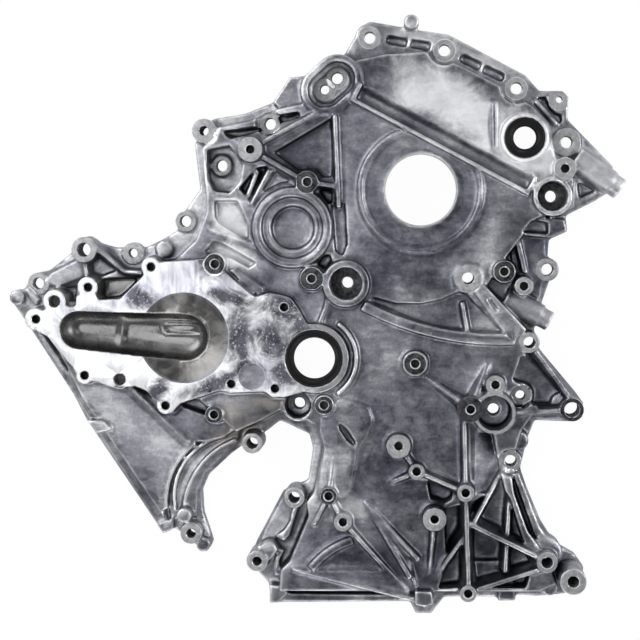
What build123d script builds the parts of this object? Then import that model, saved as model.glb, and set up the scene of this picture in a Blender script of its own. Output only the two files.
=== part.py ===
from build123d import *
import math
import os

# Timing cover of a car engine: one die-cast aluminium piece with two pressed-in shaft seals.
# It lies on its engine-side gasket face, z = 0, with the outer side up. The origin is the middle of
# the outline's box on that face, x to the right and y up when the outer side is looked at.

# Heights above the gasket face
FLANGE = 10.0
ARM = 20.0
CASE = 28.0
PAD = 34.0
RAIL = 14.0

# Casting
WALL = 4.5
DRAFT = 2.0
RIB = 3.2
RIB_FLANK = 7.0
POCKET_FLOOR = 8.0

# Holes
M8_CLEAR_R = 4.6
M6_CLEAR_R = 3.8
TAP_R = 3.4
TAP_DEPTH = 14.0
TAP_FLOOR = 2.5
PUMP_TAP_DEPTH = 14.0
DOWEL_R = 4.7
DOWEL_DEPTH = 8.0

# Crank shaft seal and its housing
CRANK = (2.5, -31.5)
CRANK_SEAL_R = 23.0
CRANK_LIP_R = 16.4
CRANK_SEAL_WIDTH = 8.0
CRANK_BOSS_R = 28.0
CRANK_WALL_R = 34.0
SEAL_SINK = 0.8
SEAL_FIT = 0.05
SEAL_LEDGE = 2.0
SEAL_WEB = 2.2
SPRING_R = 0.8
SPRING_REACH = 2.0
SPRING_HEIGHT = 2.4
LIP_LAND = 1.2

# Small shaft seal
SMALL_SHAFT = (169, 144)
SMALL_SEAL_R = 15.9
SMALL_LIP_R = 8.8
SMALL_SEAL_WIDTH = 7.0
SMALL_BOSS_R = 19.0
SMALL_BOSS_TOP = 31.0

# Large round opening
OPENING = (87, 103)
OPENING_R = 28.2
OPENING_LIP_R = 31.0
OPENING_RING_R = 48.0
OPENING_RING_W = 3.6
OPENING_RING_RISE = 2.5
OPENING_RING_FROM = 103.0
OPENING_RING_ARC = 278.0

# Round stepped dish
DISH = (-15, 73)
DISH_R = 32.0
DISH_TOP = 34.0
DISH_STEPS = [(24.8, 6.0), (17.4, 12.0)]

# Pump recess: a long slot that runs into a shallow cone
SLOT_END = (-188.5, -9.5)
SLOT_END_R = 15.1
CONE = (-102.5, -15.5)
SLOT_NOSE_R = 18.4
CONE_R = 36.8
CONE_DEPTH = 7.0
SLOT_DEPTH = 18.0
SLOT_ROUND = 12.0

# Shallow round mark on the pump pad
PAD_MARK = (-47.5, -46.5)
PAD_MARK_R = 11.0
PAD_MARK_DEPTH = 0.5

# The perimeter of the gasket flange, clockwise from the oval boss
OUTLINE = [
    (24.5, 210.5), (33, 224.5), (38, 233.5), (46, 238), (60, 235.5), (84.5, 231), (109, 227), (170, 194.5),
    (181, 182), (199.5, 182), (204.5, 176.5), (203.5, 159.5), (215, 147.5), (240.5, 121.5), (235, 100),
    (226.5, 94.5), (203, 82.5), (204.5, 70), (190, 63.5), (189, 50), (190, 28.5), (185, 14), (178.5, -10),
    (183, -24.5), (212.5, -59.5), (219, -68.5), (210, -83.5), (180, -82.5), (174.5, -96), (168.5, -121.5),
    (174, -137.5), (185.5, -165), (197, -183), (213, -192), (220.5, -202.5), (218, -221.5), (201.5, -225),
    (182.5, -227), (166.5, -226), (164.5, -231), (152, -231.5), (150, -228), (107.5, -229),
    (97, -243), (84.5, -243), (79.5, -233), (-35.5, -236), (-36.5, -220), (-52, -203.5),
    (-47, -185.5), (-25, -143.5), (-4, -134), (0, -107), (-3, -95.5), (-27, -84.5), (-37.5, -93),
    (-59.5, -106.5), (-67.5, -112.5), (-86.5, -130.5), (-92, -143), (-91, -162), (-87, -173.5), (-83, -186.5),
    (-91, -194), (-98, -188), (-109.5, -178.5), (-115.5, -174.5), (-124, -180), (-187.5, -86),
    (-200.5, -61), (-235, -8.5), (-251.5, 15.5), (-238, 23), (-230.5, 35), (-217, 38), (-199.5, 51.5),
    (-191, 64), (-184, 66), (-175, 60), (-162.5, 56.5), (-136.5, 57), (-123.5, 63), (-111, 70.5),
    (-103.5, 88), (-92, 104), (-96.5, 141), (-80.5, 161), (-55, 165), (-32, 174), (-18, 194),
    (-7, 195),
]

# The tall chain case inside the flange
CASE_OUTLINE = [
    (23, 201), (37, 205.5), (59.5, 210), (90, 211.5), (119, 200), (151.5, 183), (174.5, 168.5),
    (187, 156), (193.5, 126.5), (207.5, 112), (206.5, 88.5), (178, 80.5), (152, 46), (137.5, 23.5),
    (160, -8), (169.5, -24), (180, -51), (181, -70.5), (168.5, -88), (159.5, -119), (163, -140.5),
    (174, -170.5), (188.5, -189.5), (197, -212.5), (184, -219), (-26, -222), (-25, -205), (-18, -198),
    (-2, -160), (-4, -149), (2, -141), (6, -122.5), (9.5, -102.5), (4, -86.5), (-22, -72), (-40, -82), (-61, -92),
    (-90.5, -66.5), (-155.5, -42.5), (-204.5, -2), (-204.5, 14.5), (-155, 6.5), (-122.5, 35), (-93, 63),
    (-84.5, 85.5), (-84.5, 101.5), (-88, 135), (-77, 152.5), (-50, 157.5), (-26, 167.5), (-2.5, 172.5),
]

# The machined pump pad and the lower left arm
PAD_OUTLINE = [
    (-232, 0), (-217, 6.5), (-198, 10), (-190.5, 8), (-190, 18), (-172, 22), (-169.5, 17),
    (-154.5, 15.5), (-136, 34), (-121, 45.5), (-85, 48), (-67, 36), (-45, 18), (-33.5, 21.5), (-22, 19),
    (-11, 10.5), (-0.5, -8.5), (-0.5, -57), (-22.5, -63.5), (-39, -58.5), (-58.5, -59.5), (-74, -58), (-105, -68.5),
    (-112.5, -76.5), (-123.5, -69), (-133.5, -58.5), (-142.5, -55), (-161, -56.5), (-173.5, -51.5),
    (-189, -50), (-193, -40.5), (-202.5, -30), (-214, -15), (-229, -7.5),
]
# Tapped lobes of the pad, at its edge and inside the chain case, and its dowel lobes: x, y, radius
EDGE_LOBES = [(-223.5, -1, 9.0), (-180.5, 25, 8.5), (-129, 41.5, 8.0), (-118, -70.5, 7.0), (-184, -46.5, 7.0)]
INNER_LOBES = [(-21.5, 9.5, 9.0), (-29, -56, 7.5), (-64.5, -52.5, 7.5)]
DOWEL_LOBES = [(-208, 13.5, 9.5), (-155, -49.5, 8.0)]
ARM_OUTLINE = [
    (-207, -29), (-177, -50), (-132.5, -63.5), (-59, -89.5), (-72, -97), (-101, -103), (-114.5, -121),
    (-119, -150), (-123, -163), (-189, -66.5),
]

# Bolt bosses: x, y, height of the face, boss radius, hole radius
BOLT_BOSSES = [
    (45.5, 225, FLANGE, 11.5, M8_CLEAR_R),
    (105.5, 214.5, FLANGE, 11.5, M8_CLEAR_R),
    (163, 184, FLANGE, 11.5, M8_CLEAR_R),
    (197, 175, FLANGE, 7.0, 2.6),
    (203, 141, 14.0, 11.5, M8_CLEAR_R),
    (-34.5, 156.5, 12.0, 8.4, M8_CLEAR_R),
    (-74, 123, 12.0, 8.4, M8_CLEAR_R),
    (-86.5, 150.5, 26.0, 9.8, M6_CLEAR_R),
    (-104, 78, 11.5, 8.4, M8_CLEAR_R),
    (-147.5, 52, 11.5, 8.8, M6_CLEAR_R),
    (-185.5, 55, 24.0, 10.4, 5.6),
    (-226.5, 27, 11.5, 8.9, M8_CLEAR_R),
    (125, 33, 30.0, 11.4, M8_CLEAR_R),
    (188.5, 39.5, 14.0, 9.4, M8_CLEAR_R),
    (174, -18, 30.0, 8.2, M8_CLEAR_R),
    (208.5, -72, 26.0, 9.5, 6.0),
    (168, -62, 12.0, 7.0, M6_CLEAR_R),
    (160.5, -115, 16.0, 9.0, M8_CLEAR_R),
    (-48, -101, 29.0, 8.5, M8_CLEAR_R),
    (-14, -145, 29.0, 8.5, M8_CLEAR_R),
    (-44, -197, 32.0, 8.7, M6_CLEAR_R),
    (-99, -176.5, 25.0, 8.8, M6_CLEAR_R),
    (209, -206, 48.0, 10.5, M8_CLEAR_R),
    (189, -193, 39.0, 8.4, M8_CLEAR_R),
]

# Bolt seats sunk in a round well: x, y, rim height, rim radius, well radius
WELLS = [
    (191, 98, 34.0, 15.6, 11.7),
    (28, 28.5, 34.0, 18.8, 13.2),
    (-11, -70, CASE + 0.5, 13.0, 10.5),
    (146.5, -73.5, 40.0, 16.8, 13.8),
]
WELL_FLOOR = 12.0

# Tapped bosses that stand on the flange: x, y, height of the face, radius
FLANGE_TAPPED = [
    (200, 119.5, 38.0, 8.8),
    (153.5, 38.5, 34.0, 9.0),
    (169, 27, 34.0, 7.6),
    (126.5, -218, 44.0, 6.8),
    (-79, -78, 30.0, 7.4),
]

# Tapped bosses that stand on the case
TAPPED = [
    (-47.5, 135, 42.0, 10.0),
    (-3, 109.5, 34.0, 9.0),
    (0.5, 32.5, 34.0, 9.6),
    (-77, 44, 36.0, 8.8),
    (10.5, -69, 34.0, 8.0),
    (83.5, -35, 36.0, 10.3),
    (147, -51, 40.0, 7.8),
    (127.5, -70.5, 42.0, 10.3),
    (70.5, -101, 38.0, 9.8),
    (85, -121, 40.0, 6.4),
    (124, -137, 44.0, 7.0),
    (14.5, -142, 38.0, 6.8),
    (26, -163, 38.0, 7.3),
    (99.5, -158.5, 44.0, 9.5),
]

# Blank cast pads on the flange and on the skins: x, y, height, radius
FLANGE_PADS = [
    (79, 237, 14.0, 6.0),
    (-121.5, 55.5, 13.0, 7.0),
    (-244, 15.5, 14.0, 6.3),
    (167, -98, 20.0, 7.6),
    (192, -216.5, 24.0, 6.6),
    (188.5, -189.5, 22.0, 13.5),
    (-35, -187.5, 29.0, 6.5),
    (-104.5, -161.5, 26.0, 5.8),
    (-90, -187.5, 17.0, 5.8),
]

# Low blocks, each with its height: rail, ledges and webs on the flange, raised parts of the skin
LOW_BLOCKS = [
    ([(-234, -8), (-224, -12), (-183.5, -72), (-119.5, -167), (-114, -173.5), (-123.5, -179)], RAIL),
    ([(-184, -84.5), (-170.5, -84.5), (-164, -91.5), (-177, -95)], 24.0),
    ([(-128.5, -171), (-115.5, -166), (-114.5, -174.5), (-123.5, -179)], 16.0),
    ([(-59, -89.5), (-61, -101.5), (-75, -114.5), (-88.5, -128.5), (-95, -143), (-96, -164.5), (-117, -167.5),
      (-119, -150), (-114.5, -121), (-101, -103), (-72, -97)], 14.0),
    ([(-31, 173.5), (-17.5, 193), (-6.5, 194), (-3.5, 170.5), (-20.5, 162)], 22.0),
    ([(158.5, 63), (166.5, 69.5), (186.5, 66.5), (187.5, 48.5), (183, 15), (170, 23), (160.5, 45.5)], 13.0),
    ([(175, 81.5), (201.5, 79.5), (204, 70.5), (190, 65), (164, 67.5)], 17.0),
    ([(161, 68), (165.5, 68), (172.5, 37), (168.5, 37)], 24.0),
    ([(129.5, 22.5), (138, 28), (171.5, -7.5), (164, -16.5), (155, -12)], 31.0),
    ([(-24, -145), (-44, -183), (-36.5, -187), (-21.5, -174), (-10, -153.5)], 14.0),
    ([(-16.5, -156), (-18, -166), (-23, -174), (-30, -179), (-23, -182.5), (-18.5, -177.5), (-11.5, -154)], 20.0),
    ([(-44, -185), (-30, -183.5), (-27.5, -188), (-33.5, -196.5), (-40, -196)], 30.0),
    ([(-27.5, -189), (-23, -190.5), (-27.5, -198.5), (-26, -211), (-30.5, -211.5), (-31.5, -200)], 20.0),
    ([(-35, -219), (-23, -220.5), (-20, -226), (-28.5, -234), (-35, -234.5)], 20.0),
    ([(-28, -227), (68.5, -226), (68.5, -232), (-28, -234.5)], 16.0),
    ([(84, -218), (97.5, -218), (99, -228), (92, -231), (84.5, -229)], 38.0),
    ([(153, -205), (163, -205), (165.5, -229.5), (151.5, -229.5)], 16.0),
    ([(131, -197), (152, -196.5), (152.5, -217), (131, -217)], 17.0),
    ([(172, -19.5), (175, -27.5), (205, -63.5), (212, -67.5), (211, -61.5), (179, -21.5)], 22.0),
    ([(200, -59), (207, -64), (205, -78), (172, -79), (176, -68.5), (192, -68.5), (194, -63)], 14.0),
    ([(162.5, -125), (167, -124), (184, -168), (199, -188), (193, -190), (180, -174)], 20.0),
    ([(-215, 36), (-190, 48.5), (-185, 42.5), (-189, 32), (-211, 24), (-221, 28.5)], 13.0),
    ([(-238.5, 22), (-228, 9), (-224.5, 14), (-234, 24)], 14.0),
    ([(44, -148), (77.5, -182.5), (86, -218)], 31.0),
    ([(-15.5, -204.5), (63, -204), (84, -226)], 30.5),
    ([(23, -64), (46, -71), (49.5, -81), (46.5, -92), (37.5, -105.5), (31, -139), (23.5, -145), (6, -136),
      (8, -120), (11, -103), (6, -90), (8, -78)], CASE + 2.5),
    ([(-66, 39), (-61, 40.5), (-38, 25), (-39.5, 21), (-47, 20)], CASE + 3),
]

# Hollows in those blocks and in the flange, each with its floor height
HOLLOWS = [
    ([(-182.5, 45), (-178, 51), (-172, 46), (-160.5, 38), (-174.5, 32.5), (-181.5, 35.5)], 4.5),
    ([(-177, 31), (-143, 32), (-150, 24), (-159.5, 15.5), (-171.5, 15), (-176.5, 24)], 4.5),
    ([(-212.5, 21.5), (-193.5, 26), (-197, 12), (-200.5, 12)], 5.0),
    ([(179, 177), (186.5, 177.5), (189.5, 169), (194, 164.5), (199, 163), (199.5, 157), (195.5, 155.5),
      (182.5, 169.5)], 4.5),
    ([(212, 110), (227.5, 103), (213.5, 96)], 4.5),
    ([(175, 79), (188, 77.5), (189, 68), (167, 69.5)], 11.0),
    ([(139.5, 18), (142.5, 18), (149.5, 8), (146, 7)], 25.0),
    ([(21.5, -82.5), (29, -88.5), (35.5, -98.5), (36, -104), (28.5, -98), (22.5, -88.5)], 26.0),
]

# Skin that falls away as a plain slope: start, end, reach to the right of that run, and foot height
SLOPES = [((131.5, -142), (131.5, -90), 19.0, 12.0)]

# The oval boss with its two bolt holes, the straight channel and the slots of the top flange
OVAL = (16, 186.5)
OVAL_TURN = 42.0
OVAL_LENGTH = 13.5
OVAL_TOP = 30.0
OVAL_R = 19.2
OVAL_STEPS = [(13.8, 8.0), (10.4, 20.0)]
OVAL_HOLES = [(19.5, 193, M8_CLEAR_R), (9.5, 184, M6_CLEAR_R)]
CHANNEL = (106, 144.5)
CHANNEL_TURN = -28.0
CHANNEL_LENGTH = 160.0
CHANNEL_WIDTH = 19.0
CHANNEL_RISE = 4.5
CHANNEL_FLOOR = CASE - 5.0
CHANNEL_SLOPE = 5.0
FLANGE_SLOTS = [((77, 220.5), 30.0, -9.5), ((135.5, 200.5), 32.5, -26.5)]
FLANGE_SLOT_W = 7.0
FLANGE_SLOT_FLOOR = 5.0
FLANGE_SLOT_RIB = 2.2

# Curved ribs, each through three points
BOWED_RIBS = [((43, 13), (95, -6.5), (155, -12.5)), ((40.5, 9), (90, -10.5), (162.5, -18))]
BOWED_RISE = 5.0
ARM_RIDGES = [
    ((-96, -103), (-115, -127), (-120, -157), ARM + 1.5),
    ((-71, -97), (-104.5, -118), (-112.5, -159), 19.0),
    ((-62, -100), (-94.5, -125), (-106, -157), 17.0),
]
ARM_RIDGE_FOOT = 8.0
ARM_RIDGE_W = 2.6
SUMP_BAR = ((33.5, -179), (13.5, -189), (0, -202.5))
SUMP_BAR_W = 6.5
SUMP_BAR_TOP = 32.0
CRANK_WALL_FROM = -57.0
CRANK_WALL_ARC = 113.0

# Pipe nipples that lie along the flange: root, tip, body radius, collar radius
NIPPLES = [((209.5, 128), (238, 108.5), 10.0, 8.7), ((155, 17), (183, 2), 9.7, 8.0)]
NIPPLE_HEIGHT = 14.0
NIPPLE_COLLAR = 9.0
NIPPLE_BORE_R = 5.0
SEAT_CLEAR = 2.0

# Open pockets between the ribs on the outer side, each with its floor height
POCKETS = [
    ([(-84, 135.5), (-66, 139), (-55, 124.5), (-57.5, 109.5), (-66, 100.5), (-79, 102), (-84, 112.5)], POCKET_FLOOR),
    ([(-72, 150.5), (-44, 153.5), (-26, 163), (-10.5, 165.5), (-8, 161.5), (-51, 147), (-66, 143.5)], POCKET_FLOOR),
    ([(18, 161.5), (-30.5, 133), (-22.5, 127), (-10.5, 118.5), (3, 120), (8.5, 113), (16.5, 113)], 16.0),
    ([(-44.5, 121), (-35, 122.5), (-32, 119.5), (-47.5, 90), (-52, 97), (-58.5, 104.5)], 12.0),
    ([(-29, 118.5), (-15, 110), (-26, 108), (-38.5, 101), (-44, 94.5)], 24.0),
    ([(6.5, 105), (17, 105), (17, 93), (13.5, 91.5), (6.5, 100.5)], 14.0),
    ([(-78.5, 95), (-59.5, 95), (-50.5, 75), (-51, 62.5), (-74.5, 76), (-78, 81.5)], 20.0),
    ([(-79, 62.5), (-71.5, 60.5), (-44, 45), (-50.5, 40.5), (-65, 48.5), (-87, 52.5)], 20.0),
    ([(16, 93), (27, 93), (29, 60), (25, 50), (19, 54)], 23.0),
    ([(8.5, 50.5), (15.5, 52), (16.5, 46), (11, 38.5), (4, 43.5)], 14.0),
    ([(49, 18), (68, 13), (87, 12.5), (103.5, 16), (117, 22), (124, 20.5), (153, -10), (125, -8.5), (105, -6),
      (87, -1.5), (66, 6.5), (47, 14)], 24.5),
    ([(167.5, -28.5), (173, -29.5), (200, -59), (194, -63), (192, -68.5), (176, -68.5), (176.5, -56.5),
      (161, -48.5)], POCKET_FLOOR),
    ([(131, -90), (146, -92), (149, -108), (151.5, -120), (156, -138), (131, -141)], 12.0),
    ([(129.5, -148), (152, -131.5), (160, -143.5), (170, -176), (179, -194.5), (173, -216.5), (133.5, -216.5),
      (129, -181)], 12.0),
    ([(106.5, -153), (121, -149), (123.5, -198.5), (123, -216.5), (102.5, -218.5), (109, -198.5), (108, -174)],
     POCKET_FLOOR),
    ([(93, -130), (114.5, -139), (113, -145), (107.5, -148.5), (96, -145)], 12.0),
]

# Ribs: start, end and the height of the rib's top at each. Gussets lean more and have a foot of their own.
RIBS = [
    ((-49, 135.5), (-85.5, 151), 30.0, 25.0),
    ((-48.5, 135.5), (-3, 109), 38.0, 33.0),
    ((-49, 135.5), (13, 168.5), 32.0, 31.0),
    ((-3, 109.5), (20, 106), 33.0, 32.0),
    ((-43.5, 119), (-52, 96), 26.0, 26.0),
    ((-33, 119.5), (-48, 91), 30.0, 30.0),
    ((144.5, 172), (145, 136), 30.0, 30.0),
    ((178, 174), (195, 155), 13.0, 13.0),
    ((-176, 57), (-153.5, 37), 24.0, 20.0),
    ((-153.5, 37), (-138, 36), 20.0, 22.0),
    ((-187, 44), (-184.5, 29), 16.0, 16.0),
    ((13.5, 22), (12.5, 11), 31.0, 31.0),
    ((12.5, 11), (7, -3), 31.0, 31.0),
    ((-83, 72.5), (-45, 58.5), 29.0, 30.0),
    ((19, 162.5), (22, 89), 33.0, 31.0),
    ((125, 33), (173.5, -17.5), 29.5, 25.5),
    ((120.5, 14), (124.5, -8.5), 32.0, 32.0),
    ((174, -18), (210.5, -67.5), 25.0, 25.0),
    ((208.5, -72), (146.5, -75.5), 25.0, 34.0),
    ((147, -51), (127.5, -70.5), 37.0, 38.0),
    ((122.5, -79), (124, -136.5), 38.0, 40.0),
    ((124, -136.5), (127, -217.5), 42.0, 42.0),
    ((155.5, -119.5), (129.5, -164), 18.0, 40.0),
    ((161, -121.5), (156, -202.5), 17.0, 34.0),
    ((127, -162.5), (189, -193), 40.0, 36.0),
    ((126.5, -218), (189, -198), 40.0, 34.0),
    ((124, -172.5), (95, -217.5), 38.0, 26.0),
    ((99, -162.5), (95, -214.5), 42.0, 26.0),
    ((85, -121), (124, -137.5), 38.0, 40.0),
    ((70.5, -101), (85, -121), 35.0, 38.0),
    ((85, -122), (64.5, -131.5), 37.0, 30.0),
    ((43, -147.5), (80.5, -208.5), 29.0, 36.0),
    ((43, -147.5), (87, -193.5), 29.0, 36.0),
    ((26, -163), (85, -229.5), 36.0, 28.0),
    ((14.5, -142), (2, -167), 34.0, 31.0),
    ((14.5, -142), (26, -163), 35.0, 35.0),
    ((-15, -203.5), (85, -226.5), 29.0, 34.0),
    ((3, -205), (62, -204), 29.0, 30.0),
]
RIB_FOOT = 7.0
GUSSETS = [
    ((127.5, -70.5), (90, -45), 40.0, 29.0, CASE - 1),
    ((127.5, -70.5), (134, -55), 40.0, 37.0, CASE - 1),
    ((134, -55), (142, -34.5), 37.0, 29.0, CASE - 1),
    ((14.5, -142), (18.5, -110), 35.0, 31.0, CASE - 1),
    ((-150, -56), (-101, -103), 23.0, 22.5, ARM - 1),
]
GUSSET_FLANK = 26.0


def block(points, foot, top, draft=0.0):
    """A cast block whose outline is true at its top and spreads towards its foot by the draft."""
    with BuildSketch(Plane.XY.offset(top)) as outline:
        with BuildLine():
            Polyline(*points, close=True)
        make_face()
    extrude(outline.sketch, amount=foot - top, taper=-draft)


def hollow(points, foot, top, wall):
    """The space inside a block, one wall thickness in from its outline."""
    with BuildSketch(Plane.XY.offset(foot)) as inside:
        with BuildLine():
            Polyline(*points, close=True)
        make_face()
        offset(amount=-wall, kind=Kind.INTERSECTION)
    extrude(inside.sketch, amount=top - foot)


def stud(x, y, foot, top, radius, draft=0.0):
    """A round boss or hole, true to size at its top."""
    with BuildSketch(Plane.XY.offset(top)) as face:
        with Locations((x, y)):
            Circle(radius)
    extrude(face.sketch, amount=foot - top, taper=-draft)


def web(start, end, start_top, end_top, foot=RIB_FOOT, flank=RIB_FLANK):
    """An upright rib with a sloping top and leaning flanks, broader at its foot where it's taller."""
    run = Vector(*end) - Vector(*start)
    side = run.cross(Vector(0, 0, 1)).normalized()
    corners = []
    for place, top in ((start, start_top), (end, end_top)):
        spread = (top - foot) * math.tan(math.radians(flank))
        for height, half in ((top, RIB / 2), (foot, RIB / 2 + spread)):
            corners.append(Vector(*place, height) + side * half)
            corners.append(Vector(*place, height) - side * half)
    ConvexPolyhedron(corners)


def slope(start, end, reach, foot):
    """A plain slope from the case's top down to its foot, on the right of the run."""
    run = Vector(*end) - Vector(*start)
    outward = run.cross(Vector(0, 0, 1)).normalized() * reach
    corners = []
    for place in (start, end):
        low = Vector(*place, foot)
        corners += [low, low + outward, Vector(*place, CASE)]
    ConvexPolyhedron(corners)


def channel(inset, upper_inset, foot, top, lean):
    """A straight block along the channel, in from its edges, whose upper side may lean out over its height."""
    along = Vector(1, 0).rotate(Axis.Z, CHANNEL_TURN)
    length = CHANNEL_LENGTH - 2 * inset
    section = Plane(origin=Vector(*CHANNEL, foot) - along * length / 2, x_dir=Vector(0, 0, 1).cross(along), z_dir=along)
    low = inset - CHANNEL_WIDTH / 2
    high = CHANNEL_WIDTH / 2 - upper_inset
    with BuildSketch(section) as profile:
        Polygon((low, 0), (high - lean, 0), (high, CASE - foot), (high, top - foot), (low, top - foot), align=None)
    extrude(profile.sketch, amount=length)


def oval(radius, foot, top, draft=0.0):
    """A block or a well with the oval boss's outline."""
    with BuildSketch(Plane.XY.offset(top)) as outline:
        with Locations(OVAL):
            SlotCenterToCenter(OVAL_LENGTH, 2 * radius, rotation=OVAL_TURN)
    extrude(outline.sketch, amount=foot - top, taper=-draft)


def arc_rib(arc, foot, top, width=RIB):
    """A rib along an arc."""
    with BuildSketch(Plane.XY.offset(foot)) as strip:
        with BuildLine():
            add(arc)
        trace(line_width=width)
    extrude(strip.sketch, amount=top - foot)


def nipple(root, tip, body_r, collar_r):
    """A pipe stub with a thinner machined collar at its mouth."""
    run = Vector(*tip) - Vector(*root)
    along = Plane(origin=(*root, NIPPLE_HEIGHT), x_dir=(0, 0, 1), z_dir=run)
    with Locations(along.location):
        Cylinder(body_r, run.length, align=(Align.CENTER, Align.CENTER, Align.MIN))
        Cylinder(collar_r, run.length + NIPPLE_COLLAR, align=(Align.CENTER, Align.CENTER, Align.MIN))


def nipple_bore(root, tip):
    """The drilling down a nipple from its mouth."""
    run = Vector(*tip) - Vector(*root)
    along = Plane(origin=(*root, NIPPLE_HEIGHT), x_dir=(0, 0, 1), z_dir=run)
    with Locations(along.location):
        Cylinder(NIPPLE_BORE_R, run.length + 2 * NIPPLE_COLLAR, align=(Align.CENTER, Align.CENTER, Align.MIN))


def lip_seal(centre, seat, outer_r, lip_r, width):
    """A rubber shaft seal: an outer ring, a front web, a dust lip and a main lip with a spring groove."""
    spring_r = lip_r + SPRING_REACH
    inner_r = outer_r - SEAL_LEDGE
    groove_r = spring_r - SPRING_R
    groove_top = SPRING_HEIGHT + SPRING_R
    section = Plane(origin=(*centre, seat), x_dir=(1, 0, 0), z_dir=(0, -1, 0))
    with BuildSketch(section) as profile:
        Polygon(
            (outer_r, 0), (outer_r, width), (spring_r, width), (lip_r, SPRING_HEIGHT + LIP_LAND / 2),
            (lip_r, SPRING_HEIGHT - LIP_LAND / 2), (groove_r, SPRING_HEIGHT - 2 * SPRING_R),
            (groove_r, groove_top), (spring_r + SPRING_R, groove_top), (spring_r + SPRING_R, width - SEAL_WEB),
            (inner_r, width - SEAL_WEB), (inner_r, 0), align=None)
    revolve(profile.sketch, Axis((*centre, 0), (0, 0, 1)))


def garter_spring(centre, seat, lip_r):
    """The closed coil spring in the main lip's groove, as a plain ring of its outer size."""
    section = Plane(origin=(*centre, seat), x_dir=(1, 0, 0), z_dir=(0, -1, 0))
    with BuildSketch(section) as coil:
        with Locations((lip_r + SPRING_REACH, SPRING_HEIGHT)):
            Rectangle(2 * SPRING_R, 2 * SPRING_R)
    revolve(coil.sketch, Axis((*centre, 0), (0, 0, 1)))


with BuildPart() as clearances:
    for points, floor in POCKETS:
        block(points, CASE + 1, floor)
    for x, y, top, radius, hole in BOLT_BOSSES:
        if top < CASE:
            stud(x, y, top, CASE + 1, radius + SEAT_CLEAR)

with BuildPart() as raised:
    block(PAD_OUTLINE, 0, PAD)
    for points, top in LOW_BLOCKS:
        block(points, 0, top)
    for start, end, reach, foot in SLOPES:
        slope(start, end, reach, foot)
    for start, middle, end, top in ARM_RIDGES:
        arc_rib(ThreePointArc(start, middle, end), ARM_RIDGE_FOOT, top, ARM_RIDGE_W)
    for points in BOWED_RIBS:
        arc_rib(ThreePointArc(*points), CASE - WALL / 2, CASE + BOWED_RISE)
    crank_wall = CenterArc(CRANK, CRANK_WALL_R, CRANK_WALL_FROM, CRANK_WALL_ARC, mode=Mode.PRIVATE)
    arc_rib(crank_wall, CASE - WALL / 2, PAD)
    opening_ring = CenterArc(OPENING, OPENING_RING_R, OPENING_RING_FROM, OPENING_RING_ARC, mode=Mode.PRIVATE)
    arc_rib(opening_ring, CASE - WALL / 2, CASE + OPENING_RING_RISE, OPENING_RING_W)
    arc_rib(ThreePointArc(*SUMP_BAR), CASE - WALL / 2, SUMP_BAR_TOP, SUMP_BAR_W)
    channel(0, RIB, CHANNEL_FLOOR - WALL, CASE + CHANNEL_RISE, 0)

with BuildPart() as sunk:
    for points, floor in HOLLOWS:
        block(points, PAD, floor)
    channel(RIB, RIB, CHANNEL_FLOOR, PAD, CHANNEL_SLOPE)
    for centre, length, turn in FLANGE_SLOTS:
        with BuildSketch(Plane.XY.offset(FLANGE_SLOT_FLOOR)) as slots:
            with Locations(centre):
                SlotCenterToCenter(length, FLANGE_SLOT_W, rotation=turn)
                Rectangle(FLANGE_SLOT_RIB, 2 * FLANGE_SLOT_W, rotation=turn, mode=Mode.SUBTRACT)
        extrude(slots.sketch, amount=FLANGE)

with BuildPart() as shell:
    block(OUTLINE, 0, FLANGE)
    block(CASE_OUTLINE, 0, CASE, DRAFT)
    block(ARM_OUTLINE, 0, ARM, DRAFT)
    add(clearances.part, mode=Mode.SUBTRACT)
    add(raised.part)
    add(sunk.part, mode=Mode.SUBTRACT)

with BuildPart() as ribs:
    for start, end, start_top, end_top in RIBS:
        web(start, end, start_top, end_top)
    for start, end, start_top, end_top, foot in GUSSETS:
        web(start, end, start_top, end_top, foot, GUSSET_FLANK)

with BuildPart() as kept:
    for points, floor in POCKETS:
        with BuildSketch(Plane.XY.offset(floor - WALL)) as around:
            with BuildLine():
                Polyline(*points, close=True)
            make_face()
            offset(amount=WALL, kind=Kind.INTERSECTION)
        extrude(around.sketch, amount=CASE)
    channel(0, 0, CHANNEL_FLOOR - WALL, CASE, 0)

with BuildPart() as cavity:
    hollow(CASE_OUTLINE, -1, CASE - WALL, WALL + 1)
    hollow(PAD_OUTLINE, -1, PAD - WALL, WALL)
    hollow(ARM_OUTLINE, -1, ARM - WALL, WALL)
    add(kept.part, mode=Mode.SUBTRACT)

with BuildPart() as bosses:
    for x, y, top, radius, hole in BOLT_BOSSES:
        stud(x, y, 0, top, radius)
    for x, y, top, radius, well in WELLS:
        stud(x, y, 0, top, radius)
    for x, y, top, radius in FLANGE_TAPPED:
        stud(x, y, 0, top, radius)
    for x, y, top, radius in TAPPED:
        stud(x, y, CASE - WALL, top, radius)
    for x, y, top, radius in FLANGE_PADS:
        stud(x, y, 0, top, radius)
    for x, y, radius in EDGE_LOBES + DOWEL_LOBES:
        stud(x, y, 0, PAD, radius)
    for x, y, radius in INNER_LOBES:
        stud(x, y, PAD - PUMP_TAP_DEPTH - WALL, PAD, radius)
    oval(OVAL_R, 0, OVAL_TOP, DRAFT)
    stud(*DISH, DISH_TOP - DISH_STEPS[-1][1] - WALL, DISH_TOP, DISH_R, 2 * DRAFT)
    stud(*CRANK, PAD - SEAL_SINK - CRANK_SEAL_WIDTH - SEAL_LEDGE, PAD, CRANK_BOSS_R)
    stud(*SMALL_SHAFT, SMALL_BOSS_TOP - SEAL_SINK - SMALL_SEAL_WIDTH - SEAL_LEDGE, SMALL_BOSS_TOP, SMALL_BOSS_R)
    stud(*OPENING, CASE - 2 * WALL, CASE + 1, OPENING_LIP_R)
    for root, tip, body_r, collar_r in NIPPLES:
        nipple(root, tip, body_r, collar_r)

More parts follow.
